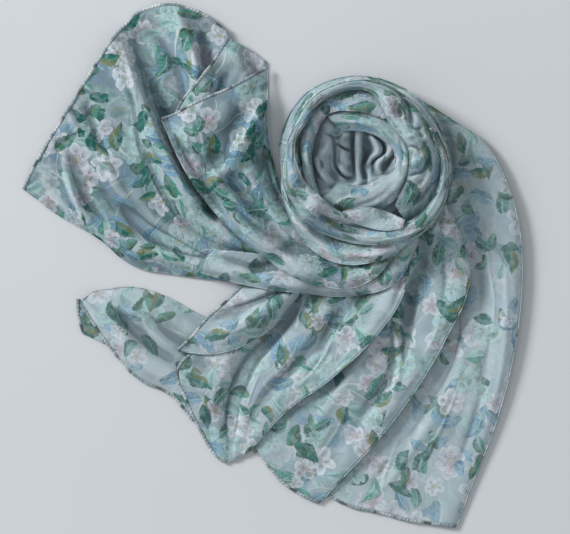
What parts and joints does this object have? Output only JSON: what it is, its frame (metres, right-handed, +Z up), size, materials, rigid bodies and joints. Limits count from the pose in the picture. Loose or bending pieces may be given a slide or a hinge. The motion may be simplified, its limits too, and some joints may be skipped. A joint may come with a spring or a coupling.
{
  "type": "chiffon scarf",
  "caption": "Printed chiffon scarf lying on a surface, wound into a rosette with its ends spread out in soft folds. It is worn round the neck or shoulders.",
  "frame": {"origin": "bottom centre of the scarf's bounding box, on the surface that it lies on", "axes": "+Z up from the surface, +Y towards the far side, where the coil and the loop of the left end are, +X to the right, where the long side sweeps round"},
  "size_m": [0.4993, 0.5262, 0.0594],
  "materials": {
    "printed_chiffon": "sheer matte chiffon, grey blue-green with a blossom and leaf print",
    "rolled_hem": "narrow rolled hem, whipped in dark and pale thread",
    "chiffon_inside": "sheer matte chiffon, plain grey, in the folds inside the coil"
  },
  "bodies": {
    "root": {"right_panel": "printed_chiffon", "right_panel_hem": "rolled_hem", "right_overfold": "printed_chiffon", "right_overfold_hem": "rolled_hem", "corner_underlay": "printed_chiffon", "corner_underlay_hem": "rolled_hem", "corner_panel": "printed_chiffon", "corner_panel_hem": "rolled_hem", "middle_fan": "printed_chiffon", "middle_fan_hem": "rolled_hem", "upper_flap": "printed_chiffon", "upper_flap_hem": "rolled_hem", "left_panel": "printed_chiffon", "left_panel_hem": "rolled_hem", "turned_corner": "printed_chiffon", "turned_corner_hem": "rolled_hem", "lower_band": "printed_chiffon", "left_flap": "printed_chiffon", "left_flap_hem": "rolled_hem", "coil_hidden_layers": "chiffon_inside", "coil_core": "chiffon_inside", "coil_core_ring": "printed_chiffon", "coil_outer_turn": "printed_chiffon", "coil_left_turn": "printed_chiffon", "coil_right_turn": "printed_chiffon", "coil_low_band": "printed_chiffon", "coil_near_band": "printed_chiffon", "coil_leaf_fold": "printed_chiffon"}
  },
  "joints": []
}
